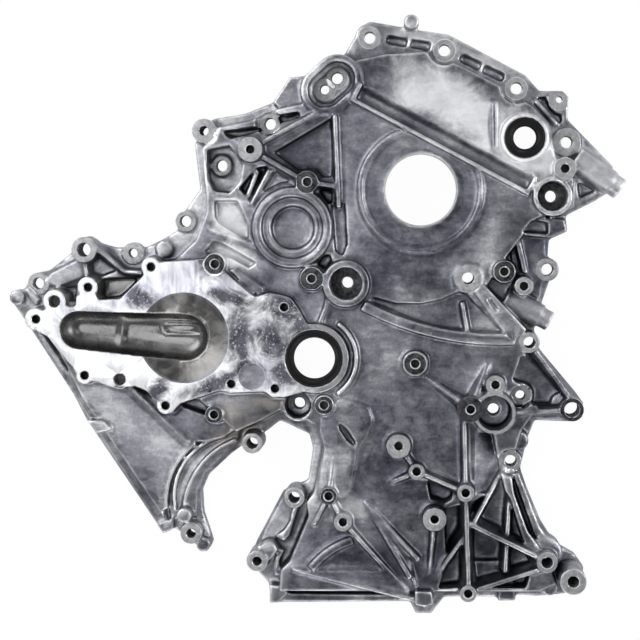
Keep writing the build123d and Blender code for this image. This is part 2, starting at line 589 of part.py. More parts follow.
with BuildPart() as bowl:
    with BuildSketch(Plane.XY.offset(PAD - 1)) as bowl_top:
        with Locations(SLOT_END):
            Circle(SLOT_END_R + WALL)
        with Locations(CONE):
            Circle(SLOT_NOSE_R + WALL)
        make_hull()
    extrude(amount=1 - SLOT_DEPTH - WALL)
    stud(*CONE, PAD - CONE_DEPTH - WALL, PAD - 1, CONE_R)

with BuildPart() as recess:
    with BuildSketch(Plane.XY.offset(PAD + 1)) as recess_mouth:
        with Locations(SLOT_END):
            Circle(SLOT_END_R)
        with Locations(CONE):
            Circle(SLOT_NOSE_R)
        make_hull()
    extrude(amount=-1 - SLOT_DEPTH)
    fillet(recess.faces().sort_by(Axis.Z)[0].edges(), SLOT_ROUND)
    with Locations((*CONE, PAD - CONE_DEPTH)):
        Cone(SLOT_NOSE_R, CONE_R, CONE_DEPTH, align=(Align.CENTER, Align.CENTER, Align.MIN))

with BuildPart() as drillings:
    for x, y, top, radius, hole in BOLT_BOSSES:
        stud(x, y, -1, top + 1, hole)
    for x, y, top, radius, well in WELLS:
        stud(x, y, -1, top, M8_CLEAR_R)
        stud(x, y, WELL_FLOOR, top + 1, well)
    for x, y, top, radius in FLANGE_TAPPED:
        stud(x, y, top - TAP_DEPTH, top + 1, TAP_R)
    for x, y, top, radius in TAPPED:
        stud(x, y, CASE - WALL + TAP_FLOOR, top + 1, TAP_R)
    for x, y, radius in EDGE_LOBES + INNER_LOBES:
        stud(x, y, PAD - PUMP_TAP_DEPTH, PAD + 1, TAP_R)
    for x, y, radius in DOWEL_LOBES:
        stud(x, y, PAD - DOWEL_DEPTH, PAD + 1, DOWEL_R)
    stud(*PAD_MARK, PAD - PAD_MARK_DEPTH, PAD + 1, PAD_MARK_R)
    for radius, depth in OVAL_STEPS:
        oval(radius, OVAL_TOP - depth, OVAL_TOP + 1)
    for x, y, hole in OVAL_HOLES:
        stud(x, y, -1, OVAL_TOP, hole)
    for radius, depth in DISH_STEPS:
        stud(*DISH, DISH_TOP - depth, DISH_TOP + 1, radius)
    stud(*CRANK, PAD - SEAL_SINK - CRANK_SEAL_WIDTH, PAD + 1, CRANK_SEAL_R)
    stud(*CRANK, 0, PAD, CRANK_SEAL_R - SEAL_LEDGE)
    stud(*SMALL_SHAFT, SMALL_BOSS_TOP - SEAL_SINK - SMALL_SEAL_WIDTH, SMALL_BOSS_TOP + 1, SMALL_SEAL_R)
    stud(*SMALL_SHAFT, 0, SMALL_BOSS_TOP, SMALL_SEAL_R - SEAL_LEDGE)
    stud(*OPENING, 0, CASE + 2, OPENING_R)
    for root, tip, body_r, collar_r in NIPPLES:
        nipple_bore(root, tip)

with BuildPart() as timing_cover:
    add(shell.part)
    add(ribs.part)
    add(cavity.part, mode=Mode.SUBTRACT)
    add(bosses.part)
    add(bowl.part)
    add(recess.part, mode=Mode.SUBTRACT)
    add(drillings.part, mode=Mode.SUBTRACT)
timing_cover.part.label = "timing_cover"

crank_seat = PAD - SEAL_SINK - CRANK_SEAL_WIDTH
small_seat = SMALL_BOSS_TOP - SEAL_SINK - SMALL_SEAL_WIDTH

with BuildPart() as crank_seal:
    lip_seal(CRANK, crank_seat, CRANK_SEAL_R - SEAL_FIT, CRANK_LIP_R, CRANK_SEAL_WIDTH)
crank_seal.part.label = "crank_seal"

with BuildPart() as crank_seal_spring:
    garter_spring(CRANK, crank_seat, CRANK_LIP_R)
crank_seal_spring.part.label = "crank_seal_spring"

with BuildPart() as small_seal:
    lip_seal(SMALL_SHAFT, small_seat, SMALL_SEAL_R - SEAL_FIT, SMALL_LIP_R, SMALL_SEAL_WIDTH)
small_seal.part.label = "small_seal"

with BuildPart() as small_seal_spring:
    garter_spring(SMALL_SHAFT, small_seat, SMALL_LIP_R)
small_seal_spring.part.label = "small_seal_spring"

os.makedirs("parts", exist_ok=True)
for piece in (timing_cover, crank_seal, crank_seal_spring, small_seal, small_seal_spring):
    export_step(piece.part, "parts/" + piece.part.label + ".step")
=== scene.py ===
import math
from collections import namedtuple

import bmesh
import bpy
import numpy as np
from mathutils import Matrix, Vector


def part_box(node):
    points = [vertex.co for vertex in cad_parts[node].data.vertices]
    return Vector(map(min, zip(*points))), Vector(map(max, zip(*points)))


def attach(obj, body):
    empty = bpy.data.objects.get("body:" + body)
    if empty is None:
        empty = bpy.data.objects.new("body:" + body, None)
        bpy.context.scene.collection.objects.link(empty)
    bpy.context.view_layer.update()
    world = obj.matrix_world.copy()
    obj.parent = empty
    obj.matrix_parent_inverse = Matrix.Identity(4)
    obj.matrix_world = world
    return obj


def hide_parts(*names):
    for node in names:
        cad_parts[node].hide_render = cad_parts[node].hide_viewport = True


# The timing cover as seen from straight above, lying on its gasket face on a white floor.
# Lengths are in metres, in the frame of the solids, unless a comment says millimetres.

MM = 0.001

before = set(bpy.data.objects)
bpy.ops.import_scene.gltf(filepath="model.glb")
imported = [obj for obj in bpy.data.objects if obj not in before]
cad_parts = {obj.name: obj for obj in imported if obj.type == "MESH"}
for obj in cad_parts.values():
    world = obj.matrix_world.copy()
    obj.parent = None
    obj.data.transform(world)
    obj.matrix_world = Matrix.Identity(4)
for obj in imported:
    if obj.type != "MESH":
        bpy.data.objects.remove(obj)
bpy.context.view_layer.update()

# Camera: where it stands over the cover, what it looks at, and its lens for a 36 mm wide picture
CAMERA_AT = (0.0968, 0.0833, 1.27)
CAMERA_AIM = (0.005, -0.0028, 0.0)
SENSOR = 36.0
LENS = 87.5
CLIP_START = 0.01
CLIP_END = 50

# Floor: half its width, its white, and how much of it the camera sees as pure white
FLOOR_HALF = 3.0
FLOOR_WHITE = 0.9
FLOOR_GLOW = 0.97

# Surround that the metal mirrors: how far up, and its grey there, with a touch of blue
SKY_GREYS = [(0.1, 1.0), (0.4, 0.9), (0.8, 0.32), (0.97, 0.15)]
SKY_BLUE = 1.03

# Lamps: name, place, width of the disc, and power in watts
LAMPS = [
    ("lamp_top_left", (-1.2, 0.8, 1.5), 1.5, 22.0),
    ("lamp_right", (1.5, 0.2, 1.0), 1.0, 12.0),
    ("lamp_low", (-0.2, -1.6, 0.9), 1.0, 8.0),
    ("lamp_over_pad", (-0.46, -0.15, 1.6), 0.55, 3.5),
    ("lamp_over_corner", (0.2, 0.29, 1.7), 0.4, 1.4),
]

# Levels of the casting, how far a face may be off its level, and the pump pad's least area
FLANGE_TOP = 10 * MM
CASE_TOP = 28 * MM
PAD_TOP = 34 * MM
FLANGE_SLACK = 0.5 * MM
LEVEL_SLACK = 0.3 * MM
PAD_AREA = 0.005

# Cast skin: grain of its remesh, how its inner corners and outer edges are rounded, and how many
# triangles it is brought down to before it is machined
VOXEL = 0.95 * MM
FILLET_STEPS = 18
INNER_SHARE = 0.5
OUTER_SHARE = 0.02
ROUNDING_STEPS = 2
ROUNDING_FACTOR = 0.5
CAST_TRIANGLES = 110000

# Machined faces: depth of the cuts, and how far each kind of cutter stands over its face
MILL_CUT = 0.25 * MM
DARK_CUT = 0.3 * MM
SLAB_OVER = 0.6 * MM
DARK_OVER = 1.5 * MM
SPOT_OVER = 4 * MM

# Spot faces of the flange's bolt holes: widest hole that has one, its radius, and the least share
# of the hole's radius
SPOT_HOLE_R = 8 * MM
SPOT_FACE = 8.6 * MM
SPOT_SHARE = 1.6

# Holes: from this radius up they are bores and wells, and such discs that are shallow stay as cast
WELL_R = 10 * MM
WELL_DEPTH = 2 * MM
TAP_R = 3.4 * MM
TAP_SLACK = 0.2 * MM
THREAD_PITCH = 1.25 * MM

# Drills: chamfers, most of a hole's depth that a chamfer takes, flares over the rim, how much
# deeper a through hole and a blind hole are cut, and the gap between the drills of one cut
TAP_CHAMFER = 0.9 * MM
HOLE_CHAMFER = 0.5 * MM
BORE_CHAMFER = 0.9 * MM
CHAMFER_SHARE = 0.4
WIDE_FLARE = 0.8 * MM
HOLE_FLARE = 0.3 * MM
THROUGH_CUT = MM
BLIND_CUT = 0.3 * MM
DRILL_GAP = 3 * MM

# Sides of the round cutters
BORE_SEGMENTS = 96
SPOT_SEGMENTS = 48
HOLE_SEGMENTS = 36

# What counts as level, as a round rim and as an upright wall: least upward part of a face's normal,
# least points of a rim and most that its radius varies, and most upward part of a wall's normal
LEVEL_NORMAL = 0.9999
RIM_POINTS = 12
RIM_UNROUND = 0.03
WALL_NORMAL = 0.5

# Borders of machined faces that are steeper than this stay sharp; the gasket face ends this high
CRISP_ANGLE = math.radians(28)
GASKET_REACH = 0.15 * MM

# Lip seals: node, outer radius and lip radius
SEALS = [("crank_seal", 22.95 * MM, 16.4 * MM), ("small_seal", 15.85 * MM, 8.8 * MM)]

# Sizes that both seals share: wall, web, the rim's outer edge and its width, and rounded corners
SEAL_WALL = 2 * MM
SEAL_WEB = 2.2 * MM
SEAL_EDGE = 0.5 * MM
SEAL_RIM = 1.7 * MM
SEAL_ROUNDING = 0.3 * MM
SEAL_SEGMENTS = 128

# Groove of a seal: depth, and its sides from the outer wall and from the lip
GROOVE_DEPTH = 1.3 * MM
GROOVE_OUTER = 2.2 * MM
GROOVE_INNER = 3.2 * MM

# Dust edge of a seal: its sides from the lip, and how far its top and its foot lie under the rim
DUST_OUTER = 1.9 * MM
DUST_INNER = 1.1 * MM
DUST_FOOT = 0.9 * MM
DUST_TOP_SINK = 0.2 * MM
DUST_FOOT_SINK = 1.6 * MM

# Lip's half height, and the spring behind it: radius of its wire, reach from the lip, and height
LIP_HALF = 0.6 * MM
SPRING_R = 0.8 * MM
SPRING_REACH = 2.0 * MM
SPRING_HEIGHT = 2.4 * MM

# Tapped bosses with a dark machined face, in millimetres: x, y, radius of the face
DARK_FACES = [
    (-3, 109.5, 9.0), (0.5, 32.5, 9.4), (-77, 44, 8.8), (83.5, -35, 8.6), (153.5, 38.5, 9.0),
    (127.5, -70.5, 10.3), (14.5, -142, 6.8), (10.5, -69, 7.4), (-79, -78, 7.2), (208.5, -72, 9.5),
]

# Metal added before the skin is remeshed. The floor beside a sunk bolt seat, in millimetres: x, y,
# radius, bottom and top. The web of the bowed double rib: its arc and width in millimetres, its
# places along the arc, and its bottom and top.
SEAT_FLOOR = (168, -62, 10.5, 7.0, 12.0)
RIB_WEB = ((41.7, 11), (92.5, -8.5), (158.5, -15.2))
RIB_WEB_W = 5.0
RIB_WEB_PLACES = 24
RIB_WEB_FOOT = CASE_TOP - MM
RIB_WEB_TOP = 31.4 * MM

# Pump slot's cone, in millimetres: centre, radius of its rim, the rim's height and width, and half
# the turn that the rim takes, in radians
CONE = (-102.5, -15.5)
CONE_RIM_R = 18.9
CONE_RIM = (0.9, 1.5)
CONE_RIM_TURN = 1.75

# Raised lines in the slot, in millimetres: two ends, height and width of each; the loop runs about
# its line at a distance, and it and its middle line end short of the cone's rim
TONGUE_LINE = ((-118, -8.5), (-84, -9.5))
TONGUE_HALF = 5.2
TONGUE_LOOP = (0.9, 1.1)
TONGUE_MIDDLE = ((-112, -9), (-86, -9.6), 0.6, 1.0)
TONGUE_GAP = 1.0
SLOT_STEP = ((-155, -3), (-157, -20), 1.1, 3.0)

# Round dish, in millimetres: centre, how near a step's centre lies, reach, and its ring lines with
# the radius and height of each and the width of both
DISH = (-15, 73)
DISH_NEAR = 2
DISH_REACH = 31
DISH_RINGS = ((28.4, 0.7), (19.8, 0.9))
DISH_RING_W = 1.3

# Patches of the cast skin, in millimetres: x, y, half width, half height, and turn in degrees
# Painted reflections: patches where the skin's colour is made much lighter, calmer and less metallic,
# standing in for the bright lamps that the metal mirrors.
PAINTED_BRIGHT_REFLECTIONS = [
    (125, 166, 62, 19, -28), (160, 140, 36, 26, -30), (185, 128, 20, 16, -30), (84, 178, 22, 12, -28),
    (-65, 78, 13, 17, 20), (-63, 51, 22, 8, -25),
]
# Painted shadow lines: the groove between the bowed ribs and a thin rib, kept free of the bright patches so
# that they read dark.
PAINTED_SHADOW_LINES = [(104, 143, 84, 8, -28), (143.5, 154, 3.5, 19, 0)]
# Painted reflections: patches where the skin's colour is made lighter and a little less metallic, standing
# in for lit parts of the surround that the metal mirrors.
PAINTED_LIGHT_REFLECTIONS = [
    (-140, -100, 66, 30, -52), (-208, 14, 44, 30, 20), (-100, -150, 34, 30, 0), (215, 100, 30, 40, 0),
    (-40, -190, 18, 46, 0), (110, 226, 90, 14, -22), (190, -140, 14, 50, 0), (140, 60, 22, 14, 50),
    (-30, 180, 50, 16, 20), (160, -10, 26, 14, -40), (18, -60, 16, 12, 0), (24, -116, 8, 14, -10),
    (136, -110, 9, 12, 30), (118, 50, 22, 7, 50), (-90, 96, 30, 60, 0), (150, -124, 14, 22, 0),
    (-2, -130, 12, 26, -20), (30, -150, 40, 9, -60),
]
# Painted dark reflections: patches where the skin's colour is made darker, standing in for the dark
# overhead that the metal mirrors.
PAINTED_DARK_REFLECTIONS = [
    (70, 40, 52, 26, 10), (52, -110, 34, 34, 0), (100, -60, 24, 40, 0), (110, 8, 26, 10, 0),
    (112, -148, 12, 14, 0), (108, -195, 14, 30, 0), (60, 100, 12, 40, 10), (-8, 130, 22, 16, 30),
    (140, -120, 8, 26, 0), (184, -50, 14, 26, 40), (50, 190, 22, 12, -10), (60, -200, 60, 14, -16),
    (150, -185, 16, 30, 0),
]
# Painted sheen: patches that make the skin lighter and calmer on the two pipe stubs.
PAINTED_PIPE_SHEEN = [(176, 7, 20, 12, -25), (228, 121, 30, 12, -30)]
WARM_SKINS = [(-66, -76, 18, 9, 15), (-60, -94, 30, 10, 25), (-30, -66, 24, 8, 10)]
SLOT_SKIN = (-137, -12, 80, 46, 0)

# Patches of the milled pad, written the same way
# Painted dark reflections on the milled face.
PAD_DARK_REFLECTIONS = [
    (-77, 44, 13, 11, 0), (-64, 17, 18, 6, -15), (-56, -15, 13, 24, 5), (-21, 10, 17, 15, 0),
    (-30, -16, 17, 22, 35), (-20, -42, 13, 14, 0), (-80, -54, 27, 7, 20), (-138, 17, 17, 8, -25),
    (-124, -58, 12, 7, 35), (-156, -58, 7, 6, 0), (-6, -20, 10, 34, 0), (-50, -40, 13, 10, 0),
]
# Painted bluish reflections on the milled face.
PAD_BLUISH_REFLECTIONS = [
    (-112, 26, 34, 14, 5), (-150, 20, 22, 9, 35), (-126, 26, 18, 12, 10), (-196, 10, 9, 8, 0),
    (-95, 38, 22, 10, 0), (-48, -47, 12, 12, 0), (-36, -40, 16, 14, 30), (-176, 0, 12, 30, 40),
    (-70, 30, 18, 10, -40),
]
CRANK_GREY = (20, -34, 22, 44, 0)

# Colours of the cast skin from its darkest tone to its brightest, and its warm tint
CAST_TONES = [
    (0.0, (0.022, 0.023, 0.028)),
    (0.25, (0.085, 0.088, 0.108)),
    (0.45, (0.2, 0.205, 0.228)),
    (0.65, (0.44, 0.445, 0.46)),
    (0.95, (0.88, 0.885, 0.89)),
]
WARM_TINT = (0.27, 0.25, 0.215)

# Colours of the pump slot: its clouds, the painted shade of its floor and the painted highlight on its
# edges, and the depths under the pad between which the slot's skin and its painted floor shade begin
SLOT_TONES = [(0.3, (0.08, 0.078, 0.075)), (0.5, (0.155, 0.152, 0.147)), (0.68, (0.29, 0.286, 0.28))]
SLOT_FLOOR_SHADE = (0.08, 0.08, 0.088)
SLOT_EDGE_HIGHLIGHT = (0.62, 0.62, 0.61)
SLOT_SKIN_DEPTHS = (0.4 * MM, 0.9 * MM)
SLOT_SHADE_DEPTHS = (7.5 * MM, 10 * MM)

# Colours of the milled pad: its smears, the painted bluish reflections, the painted dark reflections and
# their speckles, and the grey beside the crank seal
PAD_TONES = [(0.3, (0.62, 0.63, 0.67)), (0.55, (0.76, 0.765, 0.78))]
PAD_BLUISH_REFLECTION_TONES = [(0.32, (0.24, 0.25, 0.32)), (0.6, (0.6, 0.61, 0.68))]
PAD_DARK_REFLECTION_TONES = [(0.35, (0.02, 0.021, 0.027)), (0.6, (0.085, 0.088, 0.11))]
PAD_SPECKLE = (0.6, 0.61, 0.66)
PAD_GREY = (0.22, 0.223, 0.235)

# Colours of the seals' rubber
RUBBER_TONES = [(0.3, (0.004, 0.004, 0.0045)), (0.7, (0.009, 0.009, 0.01))]

# A round hole: its centre, the height and radius of its rim, and the height of its floor
Circle = namedtuple("Circle", "x y z radius floor")


def new_object(name, mesh, materials):
    """An object in the scene with that mesh and those materials."""
    obj = bpy.data.objects.new(name, mesh)
    bpy.context.scene.collection.objects.link(obj)
    for material in materials:
        obj.data.materials.append(material)
    return obj


def apply_modifier(obj, kind, **settings):
    """Adds one modifier with those settings and applies it."""
    modifier = obj.modifiers.new("step", kind)
    for key, value in settings.items():
        setattr(modifier, key, value)
    bpy.context.view_layer.objects.active = obj
    with bpy.context.temp_override(object=obj, active_object=obj, selected_objects=[obj]):
        bpy.ops.object.modifier_apply(modifier=modifier.name)


def fill_ramp(node, stops):
    """Sets a ramp's stops: position, and grey or colour of each."""
    elements = node.color_ramp.elements
    while len(elements) < len(stops):
        elements.new(0.5)
    for element, (position, colour) in zip(elements, stops):
        if not hasattr(colour, "__len__"):
            colour = (colour, colour, colour)
        element.position = position
        element.color = (*colour, 1.0)


class Nodes:
    """A short way to write a material's node tree."""

    def __init__(self, name):
        self.material = bpy.data.materials.new(name)
        self.material.use_nodes = True
        self.tree = self.material.node_tree
        self.shader = self.tree.nodes["Principled BSDF"]
        self.place = self.add("ShaderNodeTexCoord").outputs["Object"]

    def add(self, kind, **settings):
        """Adds a node with those settings."""
        node = self.tree.nodes.new(kind)
        for key, value in settings.items():
            setattr(node, key, value)
        return node

    def link(self, source, target):
        """Links an output to an input."""
        self.tree.links.new(source, target)

    def noise(self, scale, detail, roughness, distortion=0.0, place=None):
        """A noise value over the object's own place, scale in features per metre."""
        node = self.add("ShaderNodeTexNoise")
        node.inputs["Scale"].default_value = scale
        node.inputs["Detail"].default_value = detail
        node.inputs["Roughness"].default_value = roughness
        node.inputs["Distortion"].default_value = distortion
        self.link(place or self.place, node.inputs["Vector"])
        return node.outputs["Fac"]

    def stretched(self, scale, turn):
        """The object's place, turned about z and scaled, for streaks."""
        node = self.add("ShaderNodeMapping")
        node.inputs["Scale"].default_value = scale
        node.inputs["Rotation"].default_value = (0, 0, turn)
        self.link(self.place, node.inputs["Vector"])
        return node.outputs["Vector"]

    def ramp(self, value, stops):
        """A colour or grey ramp: stops are (position, grey or colour)."""
        node = self.add("ShaderNodeValToRGB")
        fill_ramp(node, stops)
        self.link(value, node.inputs["Fac"])
        return node.outputs["Color"]

    def math(self, operation, *values):
        """One operation on numbers and values."""
        node = self.add("ShaderNodeMath", operation=operation)
        for socket, value in zip(node.inputs, values):
            if isinstance(value, (int, float)):
                socket.default_value = value
            else:
                self.link(value, socket)
        return node.outputs["Value"]

    def sum(self, base, layers):
        """A base plus each value times its weight."""
        total = base
        for value, weight in layers:
            total = self.math("MULTIPLY_ADD", value, weight, total)
        return total

    def about_zero(self, value, reach):
        """A value between 0 and 1 spread over that reach, with its middle at zero."""
        return self.math("MULTIPLY_ADD", value, reach, -0.5 * reach)

    def step(self, value, low, high):
        """0 below low, 1 above high, smooth between; with low above high it falls instead."""
        node = self.add("ShaderNodeMapRange", interpolation_type="SMOOTHSTEP")
        node.inputs["From Min"].default_value = low
        node.inputs["From Max"].default_value = high
        self.link(value, node.inputs["Value"])
        return node.outputs["Result"]

    def patch(self, spot, soft, wobble=None):
        """1 inside a soft-edged oval about a place, 0 outside; a wobble makes its edge uneven."""
        x, y, half_x, half_y, turn = spot
        node = self.add("ShaderNodeMapping", vector_type="TEXTURE")
        node.inputs["Location"].default_value = (x * MM, y * MM, 0)
        node.inputs["Rotation"].default_value = (0, 0, math.radians(turn))
        node.inputs["Scale"].default_value = (half_x * MM, half_y * MM, 1)
        self.link(self.place, node.inputs["Vector"])
        length = self.add("ShaderNodeVectorMath", operation="LENGTH")
        self.link(node.outputs["Vector"], length.inputs[0])
        reach = length.outputs["Value"]
        if wobble:
            reach = self.math("ADD", reach, wobble)
        return self.step(reach, 1 + soft, 1 - soft)

    def patches(self, spots, soft, wobble=None):
        """The largest of several patches."""
        largest = self.patch(spots[0], soft, wobble)
        for spot in spots[1:]:
            largest = self.math("MAXIMUM", largest, self.patch(spot, soft, wobble))
        return largest

    def height(self):
        """The place's height over the gasket face."""
        node = self.add("ShaderNodeSeparateXYZ")
        self.link(self.place, node.inputs["Vector"])
        return node.outputs["Z"]

    def upward(self):
        """How far the surface looks up, 1 for level."""
        node = self.add("ShaderNodeSeparateXYZ")
        self.link(self.add("ShaderNodeNewGeometry").outputs["Normal"], node.inputs["Vector"])
        return node.outputs["Z"]

    def nearness(self, distance, inside):
        """How much of the piece itself lies close by: outer edges from inside it, crevices from outside."""
        node = self.add("ShaderNodeAmbientOcclusion", samples=4, inside=inside, only_local=True)
        node.inputs["Distance"].default_value = distance
        return self.math("SUBTRACT", 1.0, node.outputs["AO"])

    def mix(self, share, first, second):
        """The first colour, with that share of the second mixed in."""
        node = self.add("ShaderNodeMix", data_type="RGBA")
        for name, value in (("Factor", share), ("A", first), ("B", second)):
            socket = node.inputs[name]
            if isinstance(value, (int, float)):
                socket.default_value = value
            elif isinstance(value, tuple):
                socket.default_value = (*value, 1.0)
            else:
                self.link(value, socket)
        return node.outputs["Result"]

    def bump(self, layers):
        """Stacked bumps: each layer is (height value, distance in metres, strength)."""
        normal = None
        for height, distance, strength in layers:
            node = self.add("ShaderNodeBump")
            node.inputs["Distance"].default_value = distance
            node.inputs["Strength"].default_value = strength
            self.link(height, node.inputs["Height"])
            if normal:
                self.link(normal, node.inputs["Normal"])
            normal = node.outputs["Normal"]
        self.link(normal, self.shader.inputs["Normal"])


def slot_share(n):
    """1 on what lies under the pad within the pump slot, 0 elsewhere."""
    within = n.patch(SLOT_SKIN, 0.08)
    start, end = SLOT_SKIN_DEPTHS
    under = n.step(n.height(), PAD_TOP - start, PAD_TOP - end)
    return n.math("MULTIPLY", within, under)


def slot_colour(n, drift, mottle, edges):
    """The slot's duller metal, with painted shade darkening its floor and painted highlights on its edges.
    """
    colour = n.ramp(n.sum(0.0, [(drift, 0.6), (mottle, 0.4)]), SLOT_TONES)
    # Painted shade: the slot's floor is darkened the lower it lies under the pad.
    start, end = SLOT_SHADE_DEPTHS
    deep_shade = n.step(n.height(), PAD_TOP - start, PAD_TOP - end)
    colour = n.mix(n.math("MULTIPLY", deep_shade, 0.35), colour, SLOT_FLOOR_SHADE)
    # Painted highlight: a light colour laid on the slot's outer edges.
    return n.mix(n.math("MULTIPLY", edges, 0.9), colour, SLOT_EDGE_HIGHLIGHT)


def cast_material():
    """Die-cast aluminium: dark glossy skins with swirls and strokes, painted highlights on the edges,
    painted shade in the corners, and placed patches of painted bright and dark reflections.
    """
    n = Nodes("cast_aluminium")
    drift = n.noise(24, 3, 0.5, 0.5)
    mottle = n.noise(120, 3, 0.5, 0.5)
    strokes = n.noise(1.0, 3, 0.55, 0.5, n.stretched((70, 230, 120), 0.9))
    specks = n.noise(460, 3, 0.6)
    grain = n.noise(1500, 2, 0.6)
    wobble = n.about_zero(n.noise(55, 4, 0.6, 1.0), 1.6)
    # Painted shadow lines: where the bright patches are held off.
    clear_of_painted_shadow_lines = n.math("SUBTRACT", 1.0, n.patches(PAINTED_SHADOW_LINES, 0.3))
    # Painted reflections: the bright patches, kept off the painted shadow lines.
    bright = n.math("MULTIPLY", n.patches(PAINTED_BRIGHT_REFLECTIONS, 0.5, wobble), clear_of_painted_shadow_lines)
    # Painted reflections: the lighter patches.
    light = n.patches(PAINTED_LIGHT_REFLECTIONS, 0.5, wobble)
    # Painted dark reflections: the darker patches.
    dark = n.patches(PAINTED_DARK_REFLECTIONS, 0.5, wobble)
    # Painted highlight: outer edges, found by ambient occlusion from inside the piece, are lightened in the
    # skin's colour.
    edges = n.nearness(2.6 * MM, True)
    # Painted sheen on the pipe stubs, which also raises their roughness.
    pipe_sheen = n.patches(PAINTED_PIPE_SHEEN, 0.2)
    # Painted shade: corners and crevices, found by ambient occlusion from outside the piece, are darkened
    # in the skin's colour.
    corners = n.nearness(7 * MM, False)
    low = n.step(n.height(), FLANGE_TOP + 7 * MM, FLANGE_TOP + MM)
    flange = n.math("MULTIPLY", n.step(n.upward(), 0.9, 0.98), low)
    swing = n.sum(-0.775, [(drift, 0.7), (mottle, 0.35), (strokes, 0.25), (specks, 0.25)])
    calm = n.sum(1.0, [(bright, -0.6), (pipe_sheen, -0.5)])
    # The skin's tone: random swirls, strokes and specks, with the painted reflections, painted highlights
    # and painted shade added in.
    tone = n.sum(0.37, [
        (n.math("MULTIPLY", swing, calm), 1.0),
        (bright, 0.36),
        (light, 0.13),
        (dark, -0.1),
        (pipe_sheen, 0.16),
        (edges, 1.1),
        (corners, -0.24),
        (flange, 0.08),
    ])
    colour = n.ramp(tone, CAST_TONES)
    warm = n.patches(WARM_SKINS, 0.5, wobble)
    colour = n.mix(n.math("MULTIPLY", warm, 0.45), colour, WARM_TINT)
    slot = slot_share(n)
    colour = n.mix(slot, colour, slot_colour(n, drift, mottle, edges))
    n.link(colour, n.shader.inputs["Base Color"])
    polish = n.ramp(n.sum(0.0, [(mottle, 0.7), (drift, 0.3)]), [(0.3, 0.27), (0.68, 0.46)])
    n.link(n.sum(0.0, [(polish, 1.0), (slot, -0.1), (pipe_sheen, 0.14)]), n.shader.inputs["Roughness"])
    n.link(n.sum(0.94, [(bright, -0.6), (light, -0.2)]), n.shader.inputs["Metallic"])
    n.bump([(drift, 1.2 * MM, 0.3), (mottle, 0.3 * MM, 0.4), (grain, 0.04 * MM, 0.4)])
    return n.material


def pad_material():
    """The milled pad: near white, with speckled patches of painted dark reflections and smears of painted
    bluish reflections.
    """
    n = Nodes("milled_pad")
    streaks = n.noise(1.0, 3, 0.6, 0.2, n.stretched((90, 2600, 90), 0.4))
    wobble = n.about_zero(n.noise(48, 6, 0.7, 1.4), 2.8)
    smears = n.noise(1.0, 4, 0.6, 0.6, n.stretched((160, 40, 90), 0.3))
    # Painted dark reflections: the dark patches, with their own speckled colour below.
    dark = n.patches(PAD_DARK_REFLECTIONS, 0.6, wobble)
    bluish = n.patches(PAD_BLUISH_REFLECTIONS, 0.6, wobble)
    speckle = n.ramp(n.noise(520, 2, 0.6), [(0.6, 0.0), (0.68, 1.0)])
    base = n.ramp(smears, PAD_TONES)
    # Painted bluish reflections mixed into the pad's colour.
    base = n.mix(n.math("MULTIPLY", bluish, 0.75), base, n.ramp(smears, PAD_BLUISH_REFLECTION_TONES))
    base = n.mix(n.patch(CRANK_GREY, 0.2), base, PAD_GREY)
    shade = n.ramp(n.noise(90, 5, 0.65, 0.6), PAD_DARK_REFLECTION_TONES)
    shade = n.mix(n.math("MULTIPLY", speckle, 0.5), shade, PAD_SPECKLE)
    n.link(n.mix(dark, base, shade), n.shader.inputs["Base Color"])
    n.link(n.ramp(streaks, [(0.3, 0.3), (0.7, 0.44)]), n.shader.inputs["Roughness"])
    n.shader.inputs["Metallic"].default_value = 0.55
    n.bump([(streaks, 0.02 * MM, 0.6)])
    return n.material


def machined_material(name, low, high, roughness, metallic=0.9, threaded=False):
    """Machined metal between two greys, with fine cutter marks, and with threads down a hole."""
    n = Nodes(name)
    streaks = n.noise(1.0, 3, 0.6, 0.2, n.stretched((120, 2400, 90), 0.4))
    clouds = n.noise(240, 4, 0.65, 0.8)
    n.link(n.ramp(clouds, [(0.35, low), (0.66, high)]), n.shader.inputs["Base Color"])
    rougher = roughness + 0.14
    n.link(n.ramp(streaks, [(0.3, roughness), (0.7, rougher)]), n.shader.inputs["Roughness"])
    n.shader.inputs["Metallic"].default_value = metallic
    layers = [(streaks, 0.02 * MM, 0.6)]
    if threaded:
        threads = n.math("SINE", n.math("MULTIPLY", n.height(), 2 * math.pi / THREAD_PITCH))
        layers.append((threads, 0.25 * MM, 0.7))
    n.bump(layers)
    return n.material


def rubber_material():
    """Black seal rubber."""
    n = Nodes("seal_rubber")
    grain = n.noise(900, 3, 0.6)
    n.link(n.ramp(grain, RUBBER_TONES), n.shader.inputs["Base Color"])
    n.link(n.ramp(grain, [(0.3, 0.3), (0.7, 0.4)]), n.shader.inputs["Roughness"])
    n.shader.inputs["Specular IOR Level"].default_value = 0.16
    n.bump([(grain, 0.03 * MM, 0.4)])
    return n.material


# Finishes of the casting, by their places in its list of materials
CAST, PAD, FACED, DARK, BORED, BRIGHT = range(6)
finishes = [
    cast_material(),
    pad_material(),
    machined_material("faced_aluminium", (0.25, 0.252, 0.26), (0.4, 0.402, 0.41), 0.4, metallic=0.75),
    machined_material("dark_faced_aluminium", (0.012, 0.012, 0.014), (0.085, 0.086, 0.092), 0.4),
    machined_material(
        "bored_aluminium", (0.015, 0.015, 0.016), (0.06, 0.06, 0.062), 0.35, metallic=0.6, threaded=True
    ),
    machined_material("bright_aluminium", (0.55, 0.555, 0.56), (0.75, 0.755, 0.76), 0.26),
]


